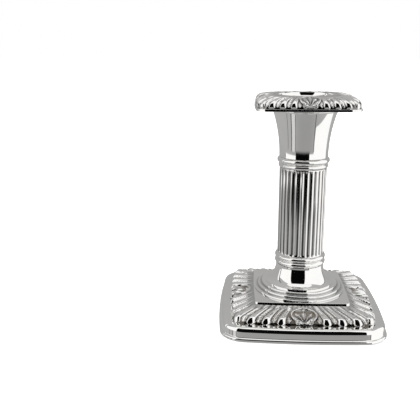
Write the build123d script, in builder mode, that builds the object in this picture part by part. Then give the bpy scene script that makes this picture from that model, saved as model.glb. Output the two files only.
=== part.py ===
"""Square-based dwarf column candlestick with a lift-out nozzle. Millimetres, +Z up, base centre at the origin.

The stick is sheet silver over a hard filling: a moulded square base, a fluted column between two collars,
and a trumpet capital that holds a socket sleeve. The nozzle, a drip pan with a candle tube, drops into it.
"""

import os
from math import atan2, cos, pi, sin, sqrt

from build123d import *

os.makedirs("parts", exist_ok=True)

# ---- driving dimensions ----
sheet = 0.8  # thickness of the sheet silver
fill_gap = 0.1  # space left between the filling and the sheet round it
rest_gap = 0.3  # the foot moulding stands this far above the table, on the baize

base_half = 47.0  # from the centre to the middle of a side, at the foot moulding
base_corner = 14.4  # corner radius there
side_bow = 440.0  # radius of each bowed side there

baize_thick = 0.8
board_clearance = 0.1  # baize and board, inside the foot moulding
board_headroom = 0.5  # between the board and the ledge above it

foot_height = 2.15  # foot moulding
foot_depth = 2.2  # how far it reaches in from the base's edge
foot_round = 1.05  # its top rounding, and how far it stands out past the plinth wall
foot_lip = 0.5  # its bottom rounding
plinth_height = 8.0  # top of the ledge, above the table
plinth_round = 1.8  # ovolo between the plinth wall and the ledge, how far in
plinth_ovolo = 2.1  # and how far down
ledge_width = 3.6  # flat ledge outside the border

border_rise = 5.9  # from the ledge to the platform's underside
border_flat = 1.0  # exponents of the border's cushion curve: larger ones keep it fuller
border_full = 3.0
border_steps = 9

platform_half = 27.0
platform_corner = 2.4
platform_bow = 600.0
platform_thick = 1.5

ring_margin = 0.6  # from the platform's edge in to the first of three circular steps
ring_tread = 2.2
ring_rises = (1.2, 1.4, 1.5)
ring_round = 0.6  # rounding of each step's top edge
ring_bearing = 2.4  # how far the first step reaches over the platform

bell_rise = 11.3  # spreading foot, from the top step to the collar

candle_radius = 11.3  # bore of the nozzle's tube
plug_clearance = 0.3  # between the nozzle's tube and the sleeve
sleeve_wall = 0.5
column_setback = 0.35  # the column is this much thinner than the capital's foot
column_wall = 1.05
column_length = 50.4
neck_stand = 0.45  # how far the neck and the beads stand out past the column
lower_bead_stand = 1.25
upper_bead_stands = (0.65, 1.4)  # bottom bead, top bead
lower_bead_heights = (3.2, 3.0)
upper_bead_heights = (2.6, 3.5)

flute_count = 28
flute_radius = 2.2  # radius of the round cutter
flute_depth = 0.36
flute_band = 0.4  # plain band above and below the flutes

capital_length = 25.3
capital_sweep = 80.0  # radius of its trumpet curve
lip_height = 1.6
lip_overhang = 1.3  # how far the lip wire stands out past the capital's top edge
socket_rise = 1.1  # the socket's floor, above the capital's foot
plug_air = 3.6  # air between that floor and the nozzle's tube

rim_half = 28.1  # nozzle's edge, from the centre to the middle of a side
rim_corner = 7.0
rim_bow = 440.0
rim_gap = 0.5  # the edge wire's underside stands this far above the seat
rim_height = 1.3
rim_depth = 1.3
pan_rise = 5.8  # from the edge wire's top to the lip of the dish
pan_flat = 2.0
pan_full = 2.4
pan_steps = 7
pan_roundness = 0.97  # of its top outline, where 1 is a full circle
dish_reach = 3.7  # from the candle bore out to the dish's mouth
dish_lip = 0.9
dish_depth = 3.8
seat_width = 2.4  # collar on the tube that carries the nozzle on the capital

rod_radius = 2.0
nut_flats = 7.0
nut_height = 2.6
nut_recess = 0.4  # the nut stays this far inside the board's underside
washer_radius = 8.0
washer_thick = 0.8
washer_clearance = 0.5
anchor_radius = 8.0
anchor_thick = 2.0

# ---- heights that follow from them ----
board_top = plinth_height - sheet - board_headroom
foot_top = rest_gap + foot_height
platform_bottom = plinth_height + border_rise
platform_top = platform_bottom + platform_thick
ring_tops = [platform_top + sum(ring_rises[: count + 1]) for count in range(len(ring_rises))]
bell_bottom = ring_tops[-1]
bell_top = bell_bottom + bell_rise
column_bottom = bell_top + sum(lower_bead_heights)
column_top = column_bottom + column_length
capital_bottom = column_top + sum(upper_bead_heights)
capital_top = capital_bottom + capital_length
seat_height = capital_top + lip_height
rim_bottom = seat_height + rim_gap
rim_top = rim_bottom + rim_height
nozzle_top = rim_top + pan_rise
dish_floor = nozzle_top - dish_depth
socket_floor_bottom = capital_bottom + socket_rise
socket_floor_top = socket_floor_bottom + sheet
tube_bottom = socket_floor_top + plug_air
tube_floor_top = tube_bottom + sheet
tube_top = dish_floor - sheet
anchor_bottom = socket_floor_bottom - anchor_thick
nut_bottom = baize_thick + nut_recess
washer_bottom = nut_bottom + nut_height
recess_top = washer_bottom + washer_thick

# ---- radii and half widths that follow from them ----
plinth_inset = foot_round
ledge_inset = plinth_inset + plinth_round
border_inset = ledge_inset + ledge_width
border_half = base_half - border_inset
border_corner = base_corner - border_inset
ring_radii = [platform_half - ring_margin - ring_tread * count for count in range(len(ring_rises))]
bell_radius = ring_radii[-1] - ring_tread
bell_inner = bell_radius - sheet
platform_hole = ring_radii[0] - ring_bearing
tube_radius = candle_radius + sheet
sleeve_bore = tube_radius + plug_clearance
sleeve_radius = sleeve_bore + sleeve_wall
capital_foot_radius = sleeve_radius + sheet
capital_edge = capital_foot_radius + capital_sweep - sqrt(capital_sweep**2 - capital_length**2)
lip_radius = capital_edge + lip_overhang
column_radius = capital_foot_radius - column_setback
collar_bore = column_radius - column_wall  # the beads, the column and the filling meet here
neck_radius = column_radius + neck_stand
seat_radius = tube_radius + seat_width
dish_radius = candle_radius + dish_reach
pan_half = rim_half - rim_depth / 2
pan_inner = dish_radius + dish_lip


def bowed_square(half, corner, bow):
    """Draws a square with bowed sides and round corners, starting from the middle of the +X side."""
    drop = bow - half
    reach = bow - corner
    corner_centre = (sqrt(2 * reach**2 - drop**2) - drop) / 2
    turn = atan2(corner_centre, corner_centre + drop)
    half_way = Vector(bow * cos(turn / 2) - drop, bow * sin(turn / 2))
    side_end = Vector(bow * cos(turn) - drop, bow * sin(turn))
    corner_middle = Vector(1, 1) * (corner_centre + corner / sqrt(2))
    eighth = [Vector(half, 0), half_way, side_end]
    points = eighth + [corner_middle] + [Vector(point.Y, point.X) for point in reversed(eighth)]
    for quarter in range(4):
        turned = [point.rotate(Axis.Z, 90 * quarter) for point in points]
        ThreePointArc(*turned[0:3])
        ThreePointArc(*turned[2:5])
        ThreePointArc(*turned[4:7])


def base_outline(inset):
    """The base's outline moved in by inset. Every moulding of the plinth follows this family of outlines."""
    bowed_square(base_half - inset, base_corner - inset, side_bow - inset)


def cushion(outer, inner, rise, flat, full, fraction):
    """Half width and height on a convex slope, from its foot at fraction 0 to its top at fraction 1."""
    share = cos(fraction * pi / 2)
    return inner + (outer - inner) * share, rise * (1 - share**flat) ** (1 / full)


def border_level(fraction, inset):
    """One level of the base's border. The inner skin is moved in by inset, and down by it at the top."""
    half, height = cushion(border_half, platform_half, border_rise, border_flat, border_full, fraction)
    outward = (half - platform_half) / (border_half - platform_half)
    corner = platform_corner + (border_corner - platform_corner) * outward
    bow = side_bow + (platform_bow - side_bow) * fraction
    with BuildSketch(Plane.XY.offset(plinth_height + height - inset * fraction)) as level:
        with BuildLine():
            bowed_square(half - inset, max(corner - inset, platform_corner / 2), bow)
        make_face()
    return level.sketch


def border_levels(inset):
    return [border_level(step / border_steps, inset) for step in range(border_steps + 1)]


def pan_level(fraction, inset):
    """One level of the nozzle's border, square at its edge wire and all but round at the dish."""
    half, height = cushion(pan_half, pan_inner, pan_rise, pan_flat, pan_full, fraction)
    corner = rim_corner + (pan_inner * pan_roundness - rim_corner) * fraction
    with BuildSketch(Plane.XY.offset(rim_top + height - inset * fraction)) as level:
        with BuildLine():
            bowed_square(half - inset, corner - inset, rim_bow)
        make_face()
    return level.sketch


def pan_levels(inset):
    return [pan_level(step / pan_steps, inset) for step in range(pan_steps + 1)]


def ring_sketch(inner, outer, bottom, height):
    """A rectangle in the XZ plane, to be turned into a flat ring."""
    with BuildSketch(Plane.XZ) as ring:
        with Locations(((inner + outer) / 2, bottom + height / 2)):
            Rectangle(outer - inner, height)
    return ring.sketch


def bead_sketch(radius, bottom, height):
    """Half-round bead with its back on collar_bore."""
    neck = radius - height / 2
    with BuildSketch(Plane.XZ) as section:
        with BuildLine():
            Polyline((neck, bottom + height), (collar_bore, bottom + height), (collar_bore, bottom), (neck, bottom))
            ThreePointArc((neck, bottom), (radius, bottom + height / 2), (neck, bottom + height))
        make_face()
    return section.sketch


# ---- underside: baize pad and wooden board ----
with BuildPart() as baize_pad:
    with BuildSketch():
        with BuildLine():
            base_outline(foot_depth + board_clearance)
        make_face()
    extrude(amount=baize_thick)
baize_pad.part.label = "baize_pad"
export_step(baize_pad.part, "parts/baize_pad.step")

with BuildPart() as base_board:
    with BuildSketch(Plane.XY.offset(baize_thick)):
        with BuildLine():
            base_outline(foot_depth + board_clearance)
        make_face()
    extrude(amount=board_top - baize_thick)
    with BuildSketch(Plane.XY.offset(baize_thick)):
        Circle(washer_radius + washer_clearance)
    extrude(amount=recess_top - baize_thick, mode=Mode.SUBTRACT)
    Hole(rod_radius)
base_board.part.label = "base_board"
export_step(base_board.part, "parts/base_board.step")

# ---- tie rod and its fastenings ----
with BuildPart() as tie_rod:
    with BuildSketch(Plane.XY.offset(nut_bottom)):
        Circle(rod_radius)
    extrude(amount=socket_floor_bottom - nut_bottom)
tie_rod.part.label = "tie_rod"
export_step(tie_rod.part, "parts/tie_rod.step")

with BuildPart() as rod_nut:
    with BuildSketch(Plane.XY.offset(nut_bottom)):
        RegularPolygon(nut_flats / 2, 6, major_radius=False)
        Circle(rod_radius, mode=Mode.SUBTRACT)
    extrude(amount=nut_height)
rod_nut.part.label = "rod_nut"
export_step(rod_nut.part, "parts/rod_nut.step")

with BuildPart() as rod_washer:
    revolve(ring_sketch(rod_radius, washer_radius, washer_bottom, washer_thick), axis=Axis.Z)
rod_washer.part.label = "rod_washer"
export_step(rod_washer.part, "parts/rod_washer.step")

with BuildPart() as anchor_disc:
    revolve(ring_sketch(rod_radius, anchor_radius, anchor_bottom, anchor_thick), axis=Axis.Z)
anchor_disc.part.label = "anchor_disc"
export_step(anchor_disc.part, "parts/anchor_disc.step")

# ---- filling: the base's, which rises into the spreading foot, and the column's ----
fill_half_inset = sheet + fill_gap
with BuildPart() as base_filling:
    with BuildSketch(Plane.XY.offset(board_top)):
        with BuildLine():
            base_outline(border_inset + fill_half_inset)
        make_face()
    extrude(amount=plinth_height - board_top)
    loft(border_levels(fill_half_inset), ruled=True)
    with BuildSketch(Plane.XZ):
        with BuildLine():
            start = (0, plinth_height)
            stair = [(platform_hole - fill_gap, plinth_height)]
            for radius, top, inner in zip(ring_radii, ring_tops, (*ring_radii[1:], bell_radius)):
                step_radius = min(radius, platform_hole + sheet) - fill_half_inset
                next_radius = min(inner, platform_hole + sheet) - fill_half_inset
                stair += [(step_radius, top - fill_half_inset), (next_radius, top - fill_half_inset)]
            bell_foot = (stair[-1][0], bell_bottom)
            bell_head = (neck_radius - fill_half_inset, bell_top)
            Polyline(start, *stair, bell_foot)
            EllipticalCenterArc(
                (bell_foot[0], bell_top),
                bell_foot[0] - bell_head[0],
                bell_top - bell_foot[1],
                start_angle=180,
                arc_size=90,
            )
            Polyline(bell_head, (0, bell_top), start)
        make_face()
    revolve(axis=Axis.Z)
    Hole(rod_radius)
base_filling.part.label = "base_filling"
export_step(base_filling.part, "parts/base_filling.step")

with BuildPart() as column_filling:
    with BuildSketch(Plane.XY.offset(bell_top)):
        Circle(collar_bore)
        Circle(rod_radius, mode=Mode.SUBTRACT)
    extrude(amount=capital_bottom - bell_top)
    with BuildSketch(Plane.XY.offset(capital_bottom)):
        Circle(sleeve_radius - fill_gap)
        Circle(rod_radius, mode=Mode.SUBTRACT)
    extrude(amount=socket_rise)
    with BuildSketch(Plane.XY.offset(anchor_bottom)):
        Circle(anchor_radius)
    extrude(amount=anchor_thick, mode=Mode.SUBTRACT)
column_filling.part.label = "column_filling"
export_step(column_filling.part, "parts/column_filling.step")

# ---- plinth: foot moulding, and the wall with its ovolo and ledge ----
with BuildPart() as foot_moulding:
    with BuildLine() as base_path:
        base_outline(0)
    with BuildSketch(Plane.XZ):
        edge = base_half
        back = edge - foot_depth
        lip = edge - foot_lip
        crown = edge - foot_round
        with BuildLine():
            Polyline((crown, foot_top), (back, foot_top), (back, rest_gap), (lip, rest_gap))
            RadiusArc((lip, rest_gap), (edge, rest_gap + foot_lip), -foot_lip)
            Line((edge, rest_gap + foot_lip), (edge, foot_top - foot_round))
            RadiusArc((edge, foot_top - foot_round), (crown, foot_top), -foot_round)
        make_face()
    sweep(path=base_path.line)
foot_moulding.part.label = "foot_moulding"
export_step(foot_moulding.part, "parts/foot_moulding.step")

with BuildPart() as plinth_moulding:
    with BuildLine() as plinth_path:
        base_outline(0)
    with BuildSketch(Plane.XZ):
        wall = base_half - plinth_inset
        crown = base_half - ledge_inset
        ledge_end = border_half - sheet
        ovolo_foot = plinth_height - plinth_ovolo
        inner_height = plinth_ovolo - sheet
        with BuildLine():
            Line((wall, foot_top), (wall, ovolo_foot))
            EllipticalCenterArc((crown, ovolo_foot), plinth_round, plinth_ovolo, start_angle=0, arc_size=90)
            Polyline(
                (crown, plinth_height),
                (ledge_end, plinth_height),
                (ledge_end, plinth_height - sheet),
                (crown, plinth_height - sheet),
            )
            EllipticalCenterArc((crown, ovolo_foot), plinth_round - sheet, inner_height, start_angle=0, arc_size=90)
            Polyline((wall - sheet, ovolo_foot), (wall - sheet, foot_top), (wall, foot_top))
        make_face()
    sweep(path=plinth_path.line)
plinth_moulding.part.label = "plinth_moulding"
export_step(plinth_moulding.part, "parts/plinth_moulding.step")

# ---- base top: cushion border, platform, stepped ring, spreading foot ----
with BuildPart() as gadroon_border:
    loft(border_levels(0), ruled=True)
    loft(border_levels(sheet), ruled=True, mode=Mode.SUBTRACT)
    Hole(platform_hole)
gadroon_border.part.label = "gadroon_border"
export_step(gadroon_border.part, "parts/gadroon_border.step")

with BuildPart() as platform_plate:
    with BuildSketch(Plane.XY.offset(platform_bottom)):
        with BuildLine():
            bowed_square(platform_half, platform_corner, platform_bow)
        make_face()
        Circle(platform_hole, mode=Mode.SUBTRACT)
    extrude(amount=platform_thick)
platform_plate.part.label = "platform_plate"
export_step(platform_plate.part, "parts/platform_plate.step")

with BuildPart() as stepped_ring:
    with BuildSketch(Plane.XZ) as stair_section:
        outer_stair = [(ring_radii[0], platform_top)]
        for radius, top, following in zip(ring_radii, ring_tops, (*ring_radii[1:], bell_inner)):
            outer_stair += [(radius, top), (following, top)]
        inner_stair = [(x - sheet, z - sheet) for x, z in outer_stair[1:-1]]
        inner_stair = [(ring_radii[0] - sheet, platform_top), *inner_stair, (bell_inner, ring_tops[-1] - sheet)]
        with BuildLine():
            Polyline(*outer_stair, *reversed(inner_stair), close=True)
        make_face()
        noses = [(radius, top) for radius, top in zip(ring_radii, ring_tops)]
        corners = [v for v in stair_section.vertices() if any(abs(v.X - x) + abs(v.Y - z) < 0.01 for x, z in noses)]
        fillet(corners, ring_round)
    revolve(axis=Axis.Z)
stepped_ring.part.label = "stepped_ring"
export_step(stepped_ring.part, "parts/stepped_ring.step")

with BuildPart() as spreading_foot:
    with BuildSketch(Plane.XZ):
        curve_bottom = bell_bottom + sheet
        bell_spread = bell_radius - neck_radius
        with BuildLine():
            EllipticalCenterArc(
                (bell_radius, bell_top), bell_spread, bell_top - curve_bottom, start_angle=180, arc_size=90
            )
            Polyline((bell_radius, curve_bottom), (bell_radius, bell_bottom), (bell_inner, bell_bottom))
            EllipticalCenterArc((bell_inner, bell_top), bell_spread, bell_rise, start_angle=180, arc_size=90)
            Line((neck_radius - sheet, bell_top), (neck_radius, bell_top))
        make_face()
    revolve(axis=Axis.Z)
spreading_foot.part.label = "spreading_foot"
export_step(spreading_foot.part, "parts/spreading_foot.step")

# ---- column between its two collars ----
lower_bead_bottoms = (bell_top, bell_top + lower_bead_heights[0])
upper_bead_bottoms = (column_top, column_top + upper_bead_heights[0])
for place, bottom, height in zip(("bottom", "top"), lower_bead_bottoms, lower_bead_heights):
    with BuildPart() as lower_bead:
        revolve(bead_sketch(column_radius + lower_bead_stand, bottom, height), axis=Axis.Z)
    lower_bead.part.label = f"lower_collar_{place}_bead"
    export_step(lower_bead.part, f"parts/lower_collar_{place}_bead.step")

for place, bottom, height, stand in zip(
    ("bottom", "top"), upper_bead_bottoms, upper_bead_heights, upper_bead_stands
):
    with BuildPart() as upper_bead:
        revolve(bead_sketch(column_radius + stand, bottom, height), axis=Axis.Z)
    upper_bead.part.label = f"upper_collar_{place}_bead"
    export_step(upper_bead.part, f"parts/upper_collar_{place}_bead.step")

with BuildPart() as fluted_column:
    with BuildSketch(Plane.XY.offset(column_bottom)):
        Circle(column_radius)
        Circle(collar_bore, mode=Mode.SUBTRACT)
    extrude(amount=column_length)
    flute_circle = column_radius + flute_radius - flute_depth
    flute_half_width = sqrt(flute_radius**2 - (flute_radius - flute_depth) ** 2)
    flute_bottom = column_bottom + flute_band + flute_half_width
    flute_top = column_top - flute_band - flute_half_width
    with BuildSketch(Plane.XY.offset(flute_bottom)):
        with PolarLocations(flute_circle, flute_count):
            Circle(flute_radius)
    extrude(amount=flute_top - flute_bottom, mode=Mode.SUBTRACT)
    for end_height in (flute_bottom, flute_top):
        with Locations((0, 0, end_height)):
            with PolarLocations(flute_circle, flute_count):
                Sphere(flute_radius, mode=Mode.SUBTRACT)
fluted_column.part.label = "fluted_column"
export_step(fluted_column.part, "parts/fluted_column.step")

# ---- capital, its lip, and the socket inside it ----
with BuildPart() as capital:
    with BuildSketch(Plane.XZ):
        sweep_centre = capital_foot_radius + capital_sweep
        inner_sweep = capital_sweep + sheet
        inner_top = sweep_centre - sqrt(inner_sweep**2 - capital_length**2)
        with BuildLine():
            RadiusArc((capital_foot_radius, capital_bottom), (capital_edge, capital_top), capital_sweep)
            Line((capital_edge, capital_top), (inner_top, capital_top))
            RadiusArc((inner_top, capital_top), (capital_foot_radius - sheet, capital_bottom), -inner_sweep)
            Line((capital_foot_radius - sheet, capital_bottom), (capital_foot_radius, capital_bottom))
        make_face()
    revolve(axis=Axis.Z)
capital.part.label = "capital"
export_step(capital.part, "parts/capital.step")

with BuildPart() as capital_lip:
    with BuildSketch(Plane.XZ):
        lip_round = lip_height / 2
        lip_inner = inner_top
        with BuildLine():
            Polyline(
                (lip_radius - lip_round, seat_height),
                (lip_inner, seat_height),
                (lip_inner, capital_top),
                (lip_radius - lip_round, capital_top),
            )
            ThreePointArc(
                (lip_radius - lip_round, capital_top),
                (lip_radius, capital_top + lip_round),
                (lip_radius - lip_round, seat_height),
            )
        make_face()
    revolve(axis=Axis.Z)
capital_lip.part.label = "capital_lip"
export_step(capital_lip.part, "parts/capital_lip.step")

with BuildPart() as capital_top_plate:
    revolve(ring_sketch(sleeve_radius, lip_inner, seat_height - sheet, sheet), axis=Axis.Z)
capital_top_plate.part.label = "capital_top_plate"
export_step(capital_top_plate.part, "parts/capital_top_plate.step")

with BuildPart() as socket_sleeve:
    revolve(ring_sketch(sleeve_bore, sleeve_radius, socket_floor_top, seat_height - socket_floor_top), axis=Axis.Z)
socket_sleeve.part.label = "socket_sleeve"
export_step(socket_sleeve.part, "parts/socket_sleeve.step")

with BuildPart() as socket_floor:
    with BuildSketch(Plane.XY.offset(socket_floor_bottom)):
        Circle(sleeve_radius)
    extrude(amount=sheet)
socket_floor.part.label = "socket_floor"
export_step(socket_floor.part, "parts/socket_floor.step")

# ---- nozzle: edge wire, pan, dish, tube, its floor and its seat collar ----
with BuildPart() as nozzle_rim:
    with BuildLine() as rim_path:
        bowed_square(rim_half, rim_corner, rim_bow)
    with BuildSketch(Plane.XZ):
        rim_back = rim_half - rim_depth
        rim_round = rim_height / 2
        with BuildLine():
            Polyline(
                (rim_half - rim_round, rim_top),
                (rim_back, rim_top),
                (rim_back, rim_bottom),
                (rim_half - rim_round, rim_bottom),
            )
            ThreePointArc(
                (rim_half - rim_round, rim_bottom),
                (rim_half, rim_bottom + rim_round),
                (rim_half - rim_round, rim_top),
            )
        make_face()
    sweep(path=rim_path.line)
nozzle_rim.part.label = "nozzle_rim"
export_step(nozzle_rim.part, "parts/nozzle_rim.step")

with BuildPart() as nozzle_pan:
    loft(pan_levels(0), ruled=True)
    loft(pan_levels(sheet), ruled=True, mode=Mode.SUBTRACT)
    with Locations((0, 0, nozzle_top)):
        Hole(dish_radius + sheet)
nozzle_pan.part.label = "nozzle_pan"
export_step(nozzle_pan.part, "parts/nozzle_pan.step")

with BuildPart() as nozzle_dish:
    with BuildSketch(Plane.XZ):
        with BuildLine():
            EllipticalCenterArc(
                (candle_radius, nozzle_top), dish_reach, dish_depth, start_angle=270, arc_size=90
            )
            EllipticalCenterArc(
                (candle_radius, nozzle_top), dish_reach + sheet, dish_depth + sheet, start_angle=270, arc_size=90
            )
            Line((dish_radius, nozzle_top), (dish_radius + sheet, nozzle_top))
            Line((candle_radius, dish_floor), (candle_radius, dish_floor - sheet))
        make_face()
    revolve(axis=Axis.Z)
nozzle_dish.part.label = "nozzle_dish"
export_step(nozzle_dish.part, "parts/nozzle_dish.step")

with BuildPart() as nozzle_tube:
    revolve(ring_sketch(candle_radius, tube_radius, tube_floor_top, tube_top - tube_floor_top), axis=Axis.Z)
nozzle_tube.part.label = "nozzle_tube"
export_step(nozzle_tube.part, "parts/nozzle_tube.step")

with BuildPart() as nozzle_tube_floor:
    with BuildSketch(Plane.XY.offset(tube_bottom)):
        Circle(tube_radius)
    extrude(amount=sheet)
nozzle_tube_floor.part.label = "nozzle_tube_floor"
export_step(nozzle_tube_floor.part, "parts/nozzle_tube_floor.step")

with BuildPart() as nozzle_seat_collar:
    revolve(ring_sketch(tube_radius, seat_radius, seat_height, tube_top - seat_height), axis=Axis.Z)
nozzle_seat_collar.part.label = "nozzle_seat_collar"
export_step(nozzle_seat_collar.part, "parts/nozzle_seat_collar.step")
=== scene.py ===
"""Silver dwarf column candlestick with gadroon borders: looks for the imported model."""

from math import acos, asin, atan2, cos, degrees, hypot, pi, radians, sin, sqrt, tan

import bmesh
import bpy
import numpy as np
from mathutils import Matrix, Vector


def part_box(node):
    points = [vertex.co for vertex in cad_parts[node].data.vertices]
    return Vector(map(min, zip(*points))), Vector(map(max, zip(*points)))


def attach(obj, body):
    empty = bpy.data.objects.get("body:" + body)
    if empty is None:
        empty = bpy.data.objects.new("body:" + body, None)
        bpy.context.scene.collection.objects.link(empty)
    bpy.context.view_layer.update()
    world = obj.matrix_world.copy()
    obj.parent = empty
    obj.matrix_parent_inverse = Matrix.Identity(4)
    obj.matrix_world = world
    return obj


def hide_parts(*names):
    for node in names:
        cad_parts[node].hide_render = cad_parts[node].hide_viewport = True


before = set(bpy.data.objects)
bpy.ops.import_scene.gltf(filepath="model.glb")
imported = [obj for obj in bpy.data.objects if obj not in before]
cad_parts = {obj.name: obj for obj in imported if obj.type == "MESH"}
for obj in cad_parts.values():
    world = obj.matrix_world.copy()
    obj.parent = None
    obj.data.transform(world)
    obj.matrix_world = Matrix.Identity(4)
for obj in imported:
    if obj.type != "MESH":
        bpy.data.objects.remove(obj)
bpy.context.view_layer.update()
MM = 0.001


# ---- sizes in millimetres ----
def low(node, axis=2):
    """The lower end of a node's box."""
    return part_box(node)[0][axis] / MM


def high(node, axis=2):
    """The upper end of a node's box."""
    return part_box(node)[1][axis] / MM


def half(node):
    """Outer radius, or half width, of a node."""
    return (high(node, 0) - low(node, 0)) / 2


SHEET = high("nozzle_tube_floor") - low("nozzle_tube_floor")
# Details that no box shows:
SIDE_BOW = 440.0  # radius of the slightly bowed sides of the base and the nozzle
PLATFORM_BOW = 600.0  # the same of the platform
BASE_CORNER = 14.4
PLATFORM_CORNER = 2.4
RIM_CORNER = 7.0
FOOT_DEPTH = 2.2
FOOT_ROUND = 1.05
OVOLO_WIDTH = 1.8
OVOLO_DROP = 2.8
PLATFORM_HOLE = 24.0  # radius of the hole under the steps
RING_RISES = (1.2, 1.4, 1.5)  # heights of the three steps, before they are fitted to the whole
NECK_STAND = 0.45  # how far the neck stands out past the column
COLUMN_WALL = 1.05
FLUTE_COUNT = 28
FLUTE_RADIUS = 2.2  # radius of the round cutter
FLUTE_DEPTH = 0.36
FLUTE_BAND = 0.4  # plain band above and below the flutes
RIDGE_WEAR = 0.07  # how far polishing has rounded the ridges
CAPITAL_STEP = 1.05  # the capital's foot stands this far inside the bead below it
CAPITAL_SWEEP = 80.0
SLEEVE_WALL = 0.5


# ---- outlines ----
def bowed_square(half_width, corner, bow, share):
    """Points on a square with bowed sides and round corners.

    share runs from 0 at the middle of the +X side to 1 at the corner's diagonal.
    """
    drop = bow - half_width
    reach = bow - corner
    centre = (np.sqrt(2 * reach**2 - drop**2) - drop) / 2
    turn = np.arctan2(centre, centre + drop)
    side = bow * turn
    length = side + corner * (pi / 4 - turn)
    run = share * length
    on_side = run < side
    angle = np.where(on_side, run / bow, turn + (run - side) / corner)
    x = np.where(on_side, bow * np.cos(angle) - drop, centre + corner * np.cos(angle))
    y = np.where(on_side, bow * np.sin(angle), centre + corner * np.sin(angle))
    return x, y, length


def around(half_width, corner, bow, steps):
    """The whole outline: x and y of 8 * steps points for every level given."""
    signed = np.arange(-steps, steps) / steps
    share = np.abs(signed)[None, :]
    levels = [np.asarray(value, float)[:, None] for value in (half_width, corner, bow)]
    x, y, _ = bowed_square(*levels, share)
    y = y * np.sign(signed)[None, :]
    return four_sides(x, y)


def four_sides(x, y):
    """Repeats one side's columns, from corner to corner, on all four sides."""
    return np.hstack([x, -y, -x, y]), np.hstack([y, x, -y, -x])


def rounded(corners, steps=5, guard=0.05):
    """Closed profile with rounded corners. Each corner is (across, up, radius)."""
    points = []
    for index, (x, z, radius) in enumerate(corners):
        here = np.array([x, z])
        if radius <= 0:
            points.append(here)
            continue
        before = np.array(corners[index - 1][:2]) - here
        after = np.array(corners[(index + 1) % len(corners)][:2]) - here
        reach = min(hypot(*before), hypot(*after))
        before /= hypot(*before)
        after /= hypot(*after)
        opening = acos(max(-1, min(1, float(before @ after)))) / 2
        cut = min(radius / tan(opening), 0.45 * reach)
        radius = cut * tan(opening)
        middle = before + after
        centre = here + middle / hypot(*middle) * (radius / sin(opening))
        start = here + before * cut - centre
        end = here + after * cut - centre
        sweep = atan2(start[0] * end[1] - start[1] * end[0], float(start @ end))
        if 0.45 * reach > cut + guard:
            points.append(here + before * (cut + guard))
        for step in range(steps + 1):
            turn = sweep * step / steps
            across = start[0] * cos(turn) - start[1] * sin(turn)
            up = start[0] * sin(turn) + start[1] * cos(turn)
            points.append(centre + [across, up])
        if 0.45 * reach > cut + guard:
            points.append(here + after * (cut + guard))
    return np.array(points)


def arc(centre, across, up, start, end, steps):
    """Points on an ellipse, angles in degrees."""
    angle = np.radians(np.linspace(start, end, steps + 1))
    return np.column_stack([centre[0] + across * np.cos(angle), centre[1] + up * np.sin(angle)])


def smooth_path(points, count):
    """A smooth curve through a few points, evenly spaced along its length."""
    points = np.asarray(points, float)
    chord = np.r_[0, np.cumsum(np.hypot(*np.diff(points, axis=0).T))]
    slope = np.gradient(points, chord, axis=0)
    fine = np.linspace(0, chord[-1], count * 8)
    cell = np.clip(np.searchsorted(chord, fine, side="right") - 1, 0, len(chord) - 2)
    step = (chord[cell + 1] - chord[cell])[:, None]
    part = ((fine - chord[cell])[:, None]) / step
    curve = (
        (2 * part**3 - 3 * part**2 + 1) * points[cell]
        + (part**3 - 2 * part**2 + part) * step * slope[cell]
        + (3 * part**2 - 2 * part**3) * points[cell + 1]
        + (part**3 - part**2) * step * slope[cell + 1]
    )
    run = np.r_[0, np.cumsum(np.hypot(*np.diff(curve, axis=0).T))]
    even = np.linspace(0, run[-1], count)
    return np.column_stack([np.interp(even, run, curve[:, 0]), np.interp(even, run, curve[:, 1])])


# ---- mesh making ----
def add_piece(name, points, faces, body, node, material, sharp=38.0, shade_and_tarnish=None):
    """Makes one smooth closed mesh in metres, which stands for the named CAD node.

    sharp is the angle in degrees past which an edge stays crisp. The last argument, one number per point,
    says how dark the silver is painted there: partly tarnished silver, partly painted shade in the hollows.
    """
    mesh = bpy.data.meshes.new(name)
    mesh.from_pydata((np.asarray(points) * MM).tolist(), [], faces)
    work = bmesh.new()
    work.from_mesh(mesh)
    bmesh.ops.recalc_face_normals(work, faces=work.faces)
    work.to_mesh(mesh)
    work.free()
    mesh.polygons.foreach_set("use_smooth", [True] * len(mesh.polygons))
    mesh.set_sharp_from_angle(angle=radians(sharp))
    values = np.zeros(len(mesh.vertices)) if shade_and_tarnish is None else shade_and_tarnish
    # per-point map of painted shade and tarnish, read by the silver material
    layer = mesh.attributes.new("shade_and_tarnish", "FLOAT", "POINT")
    layer.data.foreach_set("value", np.asarray(values, np.float32))
    mesh.materials.append(material)
    piece = bpy.data.objects.new(name, mesh)
    bpy.context.scene.collection.objects.link(piece)
    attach(piece, body)
    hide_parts(node)
    return piece


def loop_faces(rows, columns):
    """Quads of a grid that closes on itself both ways."""
    row, column = np.meshgrid(np.arange(rows), np.arange(columns), indexing="ij")
    next_row = (row + 1) % rows
    next_column = (column + 1) % columns
    quads = np.stack(
        [
            row * columns + column,
            row * columns + next_column,
            next_row * columns + next_column,
            next_row * columns + column,
        ],
        axis=-1,
    )
    return quads.reshape(-1, 4).tolist()


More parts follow.
